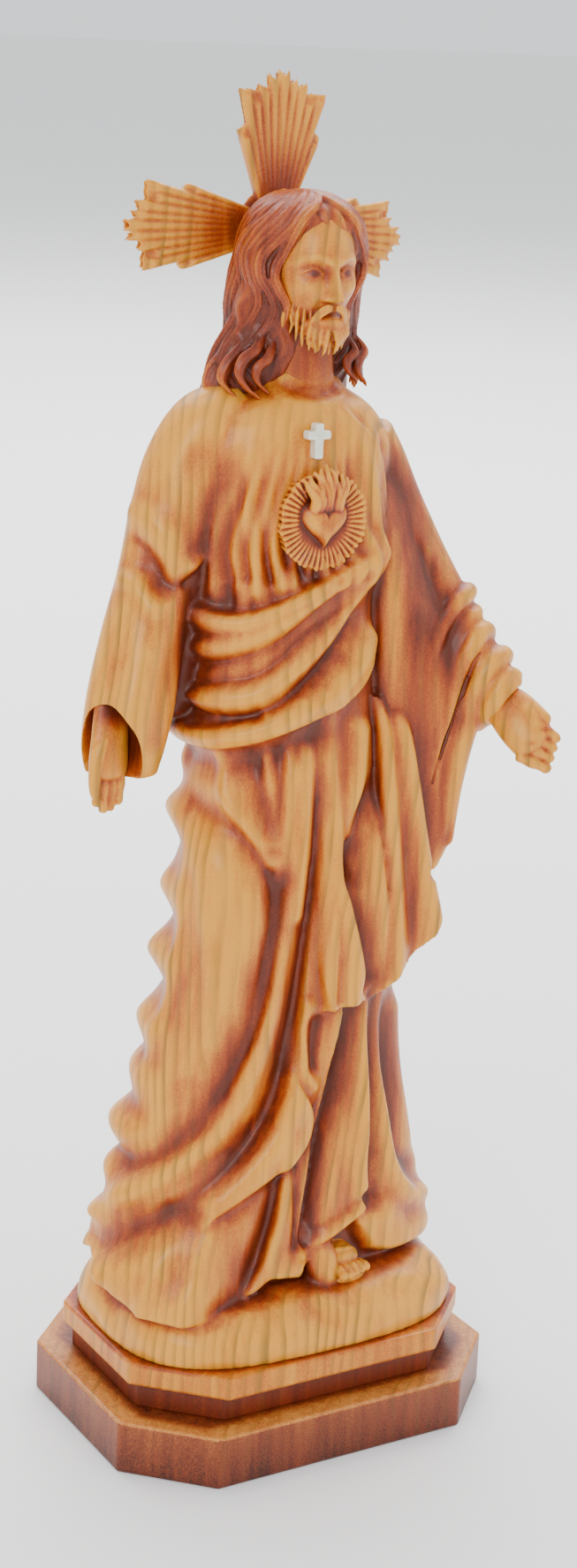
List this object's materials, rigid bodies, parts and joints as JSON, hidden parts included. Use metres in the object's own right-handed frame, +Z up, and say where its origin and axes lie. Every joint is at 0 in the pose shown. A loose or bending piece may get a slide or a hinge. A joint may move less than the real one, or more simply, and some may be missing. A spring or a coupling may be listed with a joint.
{
  "type": "sacred heart statue",
  "caption": "Standing robed figure with open arms, fluted rays behind the head and a flaming heart on the chest, on a stepped plinth with cut corners.",
  "frame": {"origin": "middle of the plinth's underside", "axes": "+Z up, the figure faces -Y, +X is the viewer's right"},
  "size_m": [0.1042, 0.077, 0.307],
  "materials": {
    "light_wood": "tan moulded resin grained like pine, red-brown stain in the hollows, satin lacquer",
    "emblem_wood": "tan moulded resin with brown stain between the rays, satin lacquer",
    "pearl": "pearly silver-white paint",
    "dark_wood": "very dark brown stain, satin lacquer",
    "base_wood": "light grained top and red-brown stained sides, satin lacquer"
  },
  "bodies": {
    "root": {"figure": "light_wood", "nimbus": "light_wood", "heart_emblem": "emblem_wood", "cross": "pearl", "plinth_top": "light_wood", "plinth_step": "dark_wood", "plinth_base": "base_wood"}
  },
  "joints": []
}
